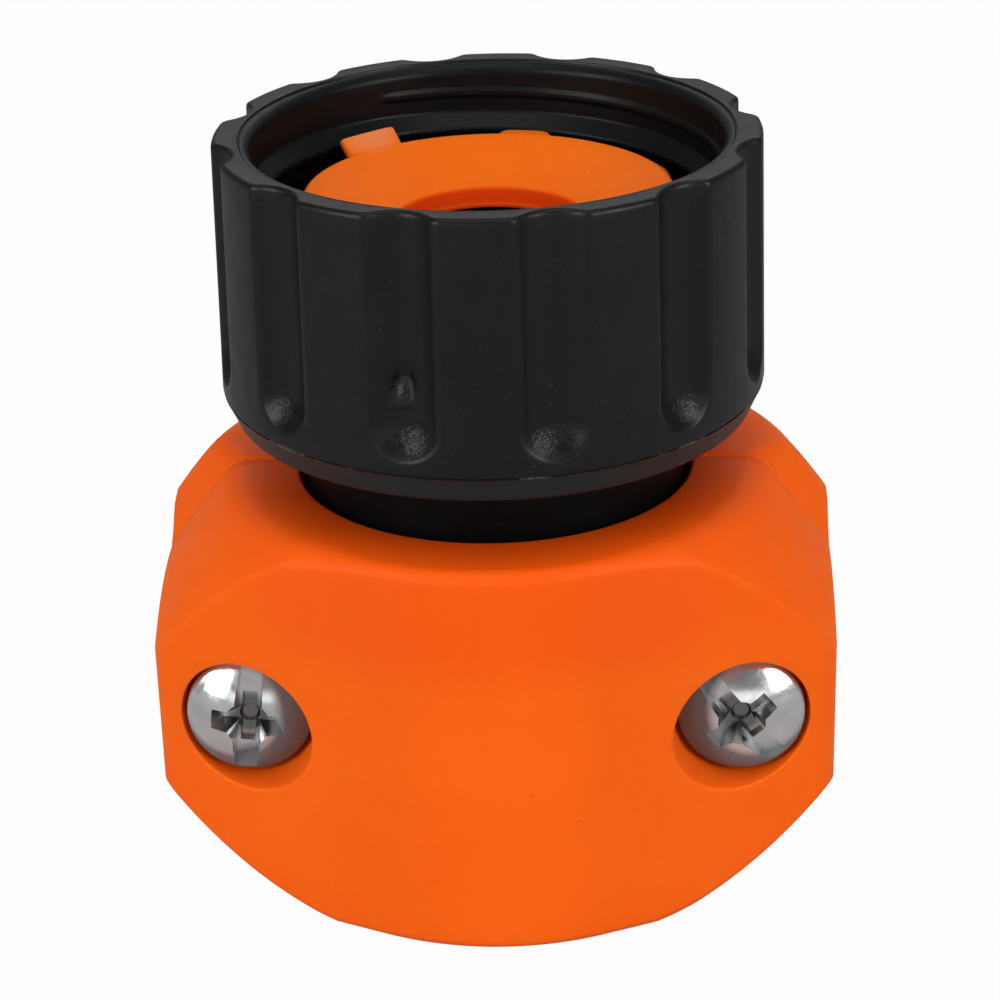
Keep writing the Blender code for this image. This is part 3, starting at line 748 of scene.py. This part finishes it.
def make_half(node, body, side, hexagonal, material):
    """A clamp half with its hose channel and two pockets. side is -1 for the front and 1 for the rear."""
    angles, starts = half_stations()
    edges = [(0, PARTING_ROUND), (PARTING_ROUND * 0.4, PARTING_ROUND * 0.3)]
    stations = [(-pi / 2, shift, inset) for shift, inset in edges]
    stations += [(angle, PARTING_ROUND * (abs(abs(angle) - pi / 2) < 1e-6), 0) for angle in angles]
    stations += [(pi / 2, shift, inset) for shift, inset in reversed(edges)]
    rows = []
    for angle, shift, inset in stations:
        outline = np.array(section(angle, side, inset))
        out = outline[:, 0] * cos(angle) + PARTING_GAP / 2 + shift
        rows.append(np.stack((outline[:, 0] * sin(angle), side * out, outline[:, 1]), axis=1))
    count = rows[0].shape[0]
    vertices = [point for row in rows for point in row]
    first_row = len(shoulder(0, LOWER_START, LOWER_SLOPE, CLAMP_EDGE_ROUND)) - 1 + ROWS_BESIDE_BLOCK
    last_row = first_row + BLOCK_ROWS
    skipped = set()
    faces = []
    for start in starts:
        left = start + len(edges)
        right = left + BLOCK_COLUMNS
        for station in range(left, right):
            for row in range(first_row, last_row):
                skipped.add((station, row))
        border = [(left, row) for row in range(first_row, last_row)]
        border += [(station, last_row) for station in range(left, right)]
        border += [(right, row) for row in range(last_row, first_row, -1)]
        border += [(station, first_row) for station in range(right, left, -1)]
        previous = [station * count + row for station, row in border]
        points = np.array([vertices[index] for index in previous])
        centre = (SCREW_SPREAD if points[:, 0].mean() > 0 else -SCREW_SPREAD, SCREW_HEIGHT)
        for ring in pocket_rings(points, centre, side, hexagonal):
            here = list(range(len(vertices), len(vertices) + len(ring)))
            vertices += list(ring)
            for index in range(len(here)):
                beside = (index + 1) % len(here)
                faces.append((previous[index], previous[beside], here[beside], here[index]))
            previous = here
        faces.append(tuple(previous))
    for station in range(len(rows) - 1):
        for row in range(count):
            if (station, row) not in skipped:
                below = (row + 1) % count
                faces.append((station * count + row, station * count + below, (station + 1) * count + below,
                              (station + 1) * count + row))
    faces.append(tuple(range(count)))
    faces.append(tuple(range(len(rows) * count - 1, (len(rows) - 1) * count - 1, -1)))
    piece = put(node + "_shell", vertices, faces, material, 30)
    floor = HEX_SEAT if hexagonal else HEAD_SEAT
    for x in (-SCREW_SPREAD, SCREW_SPREAD):
        hole = cylinder("hole", SCREW_HOLE_RADIUS, -0.5, floor + 0.5, x, side)
        combine(piece, hole, "DIFFERENCE")
    register(piece, node, body)


def cylinder(name, radius, start, end, x, side):
    """A plain rod along Y between two distances on one side of the parting, at a screw's place."""
    columns = 48
    turned = np.linspace(0, 2 * pi, columns, endpoint=False)
    rows = [np.stack((x + radius * np.cos(turned), np.full(columns, side * reach),
                      SCREW_HEIGHT + radius * np.sin(turned)), axis=1) for reach in (start, end)]
    faces = quads(2, columns, False)
    faces += [tuple(range(columns)), tuple(range(columns, 2 * columns))]
    return put(name, np.concatenate(rows), faces, None)


# Stem and washer

def make_stem(material):
    """The barbed tail, the flange that the clamp traps, the collar, the nut's neck and the washer's seat."""
    corners = [(5.0, 1.0, 0.3), (7.2, 1.0, 0.3)]
    for barb in range(4):
        foot = 1.0 + 3.8 * barb
        corners += [(8.2, foot + 2.8, 0.15), (8.2, foot + 3.3, 0.15), (7.2, foot + 3.8, 0.2)]
    corners += [(7.2, 20.6, 0.3), (12.6, 20.6, 0.25), (12.6, 22.4, 0.25), (11.6, 22.4, 0.2),
                (11.6, 28.5, 0.35), (8.8, 28.5, 0.3), (8.8, 36.6, 0.3), (11.2, 36.6, 0.25), (11.2, SEAT, 0.3),
                (5.4, SEAT, 0.1), (5.0, SEAT - 0.4, 0.1)]
    vertices, faces = lathe(rounded(corners), 128)
    piece = put("stem_shell", vertices, faces, material, 40)
    register(piece, "stem", "base")


# Each tab's angle about the hose axis, its length from where its bend starts, its bend (upward if positive),
# how far past the washer's edge the bend starts, its half width and the rounding of its corners
TABS = ((171.2, 1.15, 0, 0, 1.62, 0.8),
        (-138.8, 1.66, 46, -0.1, 2.0, 0.24),
        (-87.8, 1.4, -88, -0.62, 1.5, 0.5),
        (-36.3, 1.55, 0, 0, 1.6, 0.6),
        (15.1, 1.55, 0, 0, 1.6, 0.6),
        (66.5, 1.55, -12, 0, 1.6, 0.6),
        (119.2, 1.3, -80, -0.22, 1.55, 0.4))
TAB_HALF_THICKNESS = 0.36
TAB_DROP = 0.12
TAB_ROOT = 0.35
DISH_SLOPE = 0.353
TAB_BEND_RADIUS = 0.55


def make_tab(angle, length, bend, start, half_width, corner_round):
    """A thin plate with rounded corners that runs out of the washer's edge and bends up or down."""
    middle = radians(angle)
    out = Vector((sin(middle), -cos(middle), 0))
    across = Vector((cos(middle), sin(middle), 0))
    points = 32
    stations = [-TAB_ROOT, -0.1] + list(np.linspace(0, length - corner_round, 12)) + [
        length - corner_round * (1 - sin(radians(turn))) for turn in (15, 30, 45, 60, 72, 82, 90)]
    rows = []
    for run in stations:
        past = max(0.0, run)
        tilt = min(past / TAB_BEND_RADIUS, radians(abs(bend)))
        straight = past - TAB_BEND_RADIUS * tilt
        reach = WASHER_RADIUS + start + min(run, 0) + TAB_BEND_RADIUS * sin(tilt) + straight * cos(tilt)
        rise = TAB_BEND_RADIUS * (1 - cos(tilt)) + straight * sin(tilt)
        if bend < 0:
            rise = -rise
            tilt = -tilt
        corner = max(0.0, (run - (length - corner_round)) / corner_round)
        wide = half_width - corner_round * (1 - sqrt(max(0.0, 1 - corner ** 2)))
        thick = TAB_HALF_THICKNESS * (1 - 0.75 * corner ** 4)
        upward = Vector((0, 0, 1)) * cos(tilt) - out * sin(tilt)
        height = WASHER_TOP - TAB_HALF_THICKNESS - TAB_DROP + DISH_SLOPE * start + rise
        centre = out * reach + Vector((0, 0, height))
        for turn in np.linspace(0, 2 * pi, points, endpoint=False):
            flat = np.sign(cos(turn)) * abs(cos(turn)) ** 0.45
            tall = np.sign(sin(turn)) * abs(sin(turn)) ** 0.6
            rows.append(tuple(centre + across * (wide * flat) + upward * (thick * tall)))
    sections = len(stations)
    faces = quads(sections, points, False)
    faces += [tuple(range(points)), tuple(range((sections - 1) * points, sections * points))]
    return put("tab", rows, faces, None)


def make_washer(material):
    """A ring with a dished upper face and a step in its hole, and the tabs round its edge."""
    corners = [(5.2, WASHER_FOOT, 0.1), (WASHER_RADIUS, WASHER_FOOT, 0.25), (WASHER_RADIUS, WASHER_TOP, 0.35),
               (5.75, WASHER_TOP - 1.82, 0.12), (5.6, WASHER_TOP - 1.98, 0.08),
               (5.45, WASHER_TOP - 2.75, 0.1), (5.2, WASHER_TOP - 2.8, 0.04)]
    vertices, faces = lathe(rounded(corners, 6), 160)
    piece = put("washer_shell", vertices, faces, material, 40)
    for tab in TABS:
        combine(piece, make_tab(*tab), "UNION")
    register(piece, "sealing_washer", "washer")


# Screws and hex nuts

def make_screw(node, body, x, slot_turn, material):
    """A pan head screw with a rolled thread, a slot right across its head and a cross in the middle."""
    columns = 64
    turned = np.linspace(0, 2 * pi, columns, endpoint=False)
    bend = (HEAD_RADIUS ** 2 + HEAD_DOME ** 2) / (2 * HEAD_DOME)
    widest = atan2(HEAD_RADIUS, bend - HEAD_DOME)
    outline = [(0.02, HEAD_HEIGHT)]
    for share in np.linspace(0.06, 0.93, 14):
        outline.append((bend * sin(widest * share), HEAD_HEIGHT - bend * (1 - cos(widest * share))))
    outline += [(3.72, 1.22), (3.79, 1.06), (3.8, 0.85), (3.8, 0.3), (3.74, 0.1), (3.6, 0.0), (2.6, 0.0),
                (2.15, -0.04), (SCREW_RADIUS, -0.3)]
    rows = [(np.full(columns, radius), np.full(columns, height)) for radius, height in outline]
    for height in np.arange(-0.5, 0.5 - SCREW_LENGTH, -0.07):
        phase = np.mod(height / SCREW_PITCH + turned / (2 * pi), 1)
        depth = 0.40 * (1 - np.abs(2 * phase - 1)) * min(1.0, (-0.5 - height) / 1.5 + 0.02)
        rows.append((SCREW_RADIUS - depth, np.full(columns, height)))
    rows += [(np.full(columns, 1.45), np.full(columns, 0.25 - SCREW_LENGTH)),
             (np.full(columns, 1.25), np.full(columns, -SCREW_LENGTH)),
             (np.full(columns, 0.02), np.full(columns, -SCREW_LENGTH))]
    points = np.concatenate([np.stack((radius * np.cos(turned), -HEAD_UNDERSIDE - height,
                                       radius * np.sin(turned)), axis=1) for radius, height in rows])
    points += np.array((x, 0, SCREW_HEIGHT))
    faces = quads(len(rows), columns, False)
    last = (len(rows) - 1) * columns
    faces += [tuple(range(columns)), tuple(range(last, last + columns))]
    piece = put(node + "_shell", points, faces, material, 40)
    combine(piece, recess(x, slot_turn, (1.75, 9.0), (1.25, 9.0), 1.3), "DIFFERENCE")
    combine(piece, recess(x, slot_turn, (4.9, 1.45), (3.1, 0.8), 1.7), "DIFFERENCE")
    combine(piece, recess(x, slot_turn + pi / 2, (4.5, 1.3), (2.9, 0.75), 1.75), "DIFFERENCE")
    combine(piece, dimple(x, 1.5, 0.45, 1.95), "DIFFERENCE")
    register(piece, node, body)


def recess(x, turned, mouth, floor, depth):
    """A drafted bar that cuts a screw's head. mouth and floor are its width and length at either end."""
    points = []
    for size, reach in ((floor, depth), (mouth, 0), (mouth, -1.5)):
        for side, end in ((-1, -1), (1, -1), (1, 1), (-1, 1)):
            across = side * size[0] / 2
            along = end * size[1] / 2
            points.append((x + across * cos(turned) + along * sin(turned),
                           reach - HEAD_UNDERSIDE - HEAD_HEIGHT,
                           SCREW_HEIGHT - across * sin(turned) + along * cos(turned)))
    faces = quads(3, 4, False)
    faces += [(0, 1, 2, 3), (8, 9, 10, 11)]
    return put("recess", points, faces, None)


def dimple(x, mouth, floor, depth):
    """A tapered round cutter for the middle of the cross. mouth and floor are its radii."""
    columns = 32
    turned = np.linspace(0, 2 * pi, columns, endpoint=False)
    top = -HEAD_UNDERSIDE - HEAD_HEIGHT
    outline = ((mouth + 0.1, -1.5), (mouth, 0), (floor + 0.35, 0.75 * depth), (floor, depth))
    rows = [np.stack((x + radius * np.cos(turned), np.full(columns, top + reach),
                      SCREW_HEIGHT + radius * np.sin(turned)), axis=1) for radius, reach in outline]
    faces = quads(len(rows), columns, False)
    faces += [tuple(range(columns)), tuple(range(3 * columns, 4 * columns))]
    return put("dimple", np.concatenate(rows), faces, None)


def make_hex_nut(node, x, material):
    """A hex nut with chamfered corners and a countersunk bore."""
    columns = 120
    turned = np.linspace(0, 2 * pi, columns, endpoint=False)
    off = np.mod(turned + pi / 6, pi / 3) - pi / 6
    reach = HEX_NUT_APOTHEM / np.cos(off)
    drop = np.maximum(0, reach - 3.45) * tan(radians(30))
    near = HEX_NUT_NEAR
    far = HEX_NUT_FAR
    rows = [(2.3, near + 0.35), (2.6, near), (3.42, near), (reach, near + 0.03 + drop), (reach, near + 1.45),
            (reach, far - 0.03 - drop), (3.42, far), (2.6, far), (2.3, far - 0.35)]
    points = np.concatenate([np.stack((x + radius * np.cos(turned), depth + 0 * turned,
                                       SCREW_HEIGHT + radius * np.sin(turned)), axis=1)
                             for radius, depth in rows])
    piece = put(node + "_shell", points, quads(len(rows), columns, True), material, 25)
    register(piece, node, "base")


# Floor, world and lights

# Each light's azimuth and elevation in degrees, its distance, width and height in metres, and its watts
LIGHTS = {"key": (-49, 23, 0.60, 0.27, 0.36, 2.05),
          "fill": (56, 24, 0.60, 0.22, 0.32, 1.85),
          "front": (4, 8, 0.60, 0.80, 0.14, 0.44),
          "overhead": (10, 78, 0.55, 0.45, 0.30, 0.70),
          "rear": (178, 38, 0.60, 0.60, 0.30, 0.62)}
LIGHT_AIM = Vector((0, 0, 0.024))


def white_for_camera(tree, plain, white):
    """Mixes a shader with a white glow that only camera rays see."""
    path = tree.nodes.new("ShaderNodeLightPath")
    share = arithmetic(tree, "MULTIPLY", path.outputs["Is Camera Ray"], white)
    mix = tree.nodes.new("ShaderNodeMixShader")
    tree.links.new(share, mix.inputs[0])
    tree.links.new(plain, mix.inputs[1])
    return mix


def add_floor():
    """A wide matt floor that the camera sees as nearly white. It is stage and no piece of the part."""
    material, tree, shader = start_material("floor")
    shader.inputs["Base Color"].default_value = (0.50, 0.50, 0.50, 1)
    shader.inputs["Roughness"].default_value = 0.9
    shader.inputs["Specular IOR Level"].default_value = 0.0
    glow = tree.nodes.new("ShaderNodeEmission")
    glow.inputs["Color"].default_value = (1, 1, 1, 1)
    glow.inputs["Strength"].default_value = 1.0
    mix = white_for_camera(tree, shader.outputs[0], 0.975)
    tree.links.new(glow.outputs[0], mix.inputs[2])
    tree.links.new(mix.outputs[0], tree.nodes["Material Output"].inputs["Surface"])
    half = 1500
    floor = put("floor", [(-half, -half, 0), (half, -half, 0), (half, half, 0), (-half, half, 0)],
                [(0, 1, 2, 3)], material)


def add_world():
    """A faint even light from all sides, which the camera sees as white."""
    world = bpy.data.worlds.new("studio")
    world.use_nodes = True
    tree = world.node_tree
    ambient = tree.nodes["Background"]
    ambient.inputs["Color"].default_value = (1, 1, 1, 1)
    ambient.inputs["Strength"].default_value = 0.22
    white = tree.nodes.new("ShaderNodeBackground")
    white.inputs["Color"].default_value = (1, 1, 1, 1)
    white.inputs["Strength"].default_value = 1.0
    mix = white_for_camera(tree, ambient.outputs[0], 1.0)
    tree.links.new(white.outputs[0], mix.inputs[2])
    tree.links.new(mix.outputs[0], tree.nodes["World Output"].inputs["Surface"])
    bpy.context.scene.world = world


def add_light(name, azimuth, elevation, distance, width, height, power):
    """A flat lamp that faces the middle of the part."""
    data = bpy.data.lights.new(name, "AREA")
    data.shape = "RECTANGLE"
    data.size = width
    data.size_y = height
    data.energy = power
    light = bpy.data.objects.new(name, data)
    turned = radians(azimuth)
    raised = radians(elevation)
    away = Vector((sin(turned) * cos(raised), -cos(turned) * cos(raised), sin(raised)))
    light.location = LIGHT_AIM + away * distance
    light.rotation_euler = away.to_track_quat("Z", "Y").to_euler()
    bpy.context.collection.objects.link(light)


def main():
    """Builds the pieces of the part, then the stage and the lights."""
    add_camera()
    black = black_plastic()
    orange = orange_plastic()
    rubber = orange_rubber()
    steel = bright_steel()
    make_nut(black)
    make_washer(rubber)
    make_stem(black)
    make_half("clamp_front", "front_half", -1, False, orange)
    make_half("clamp_rear", "base", 1, True, orange)
    make_screw("screw_left", "left_screw", -SCREW_SPREAD, radians(6), steel)
    make_screw("screw_right", "right_screw", SCREW_SPREAD, radians(-39), steel)
    make_hex_nut("hex_nut_left", -SCREW_SPREAD, steel)
    make_hex_nut("hex_nut_right", SCREW_SPREAD, steel)
    add_floor()
    add_world()
    for name, values in LIGHTS.items():
        add_light(name, *values)
    bpy.context.scene.view_settings.view_transform = "Standard"


main()
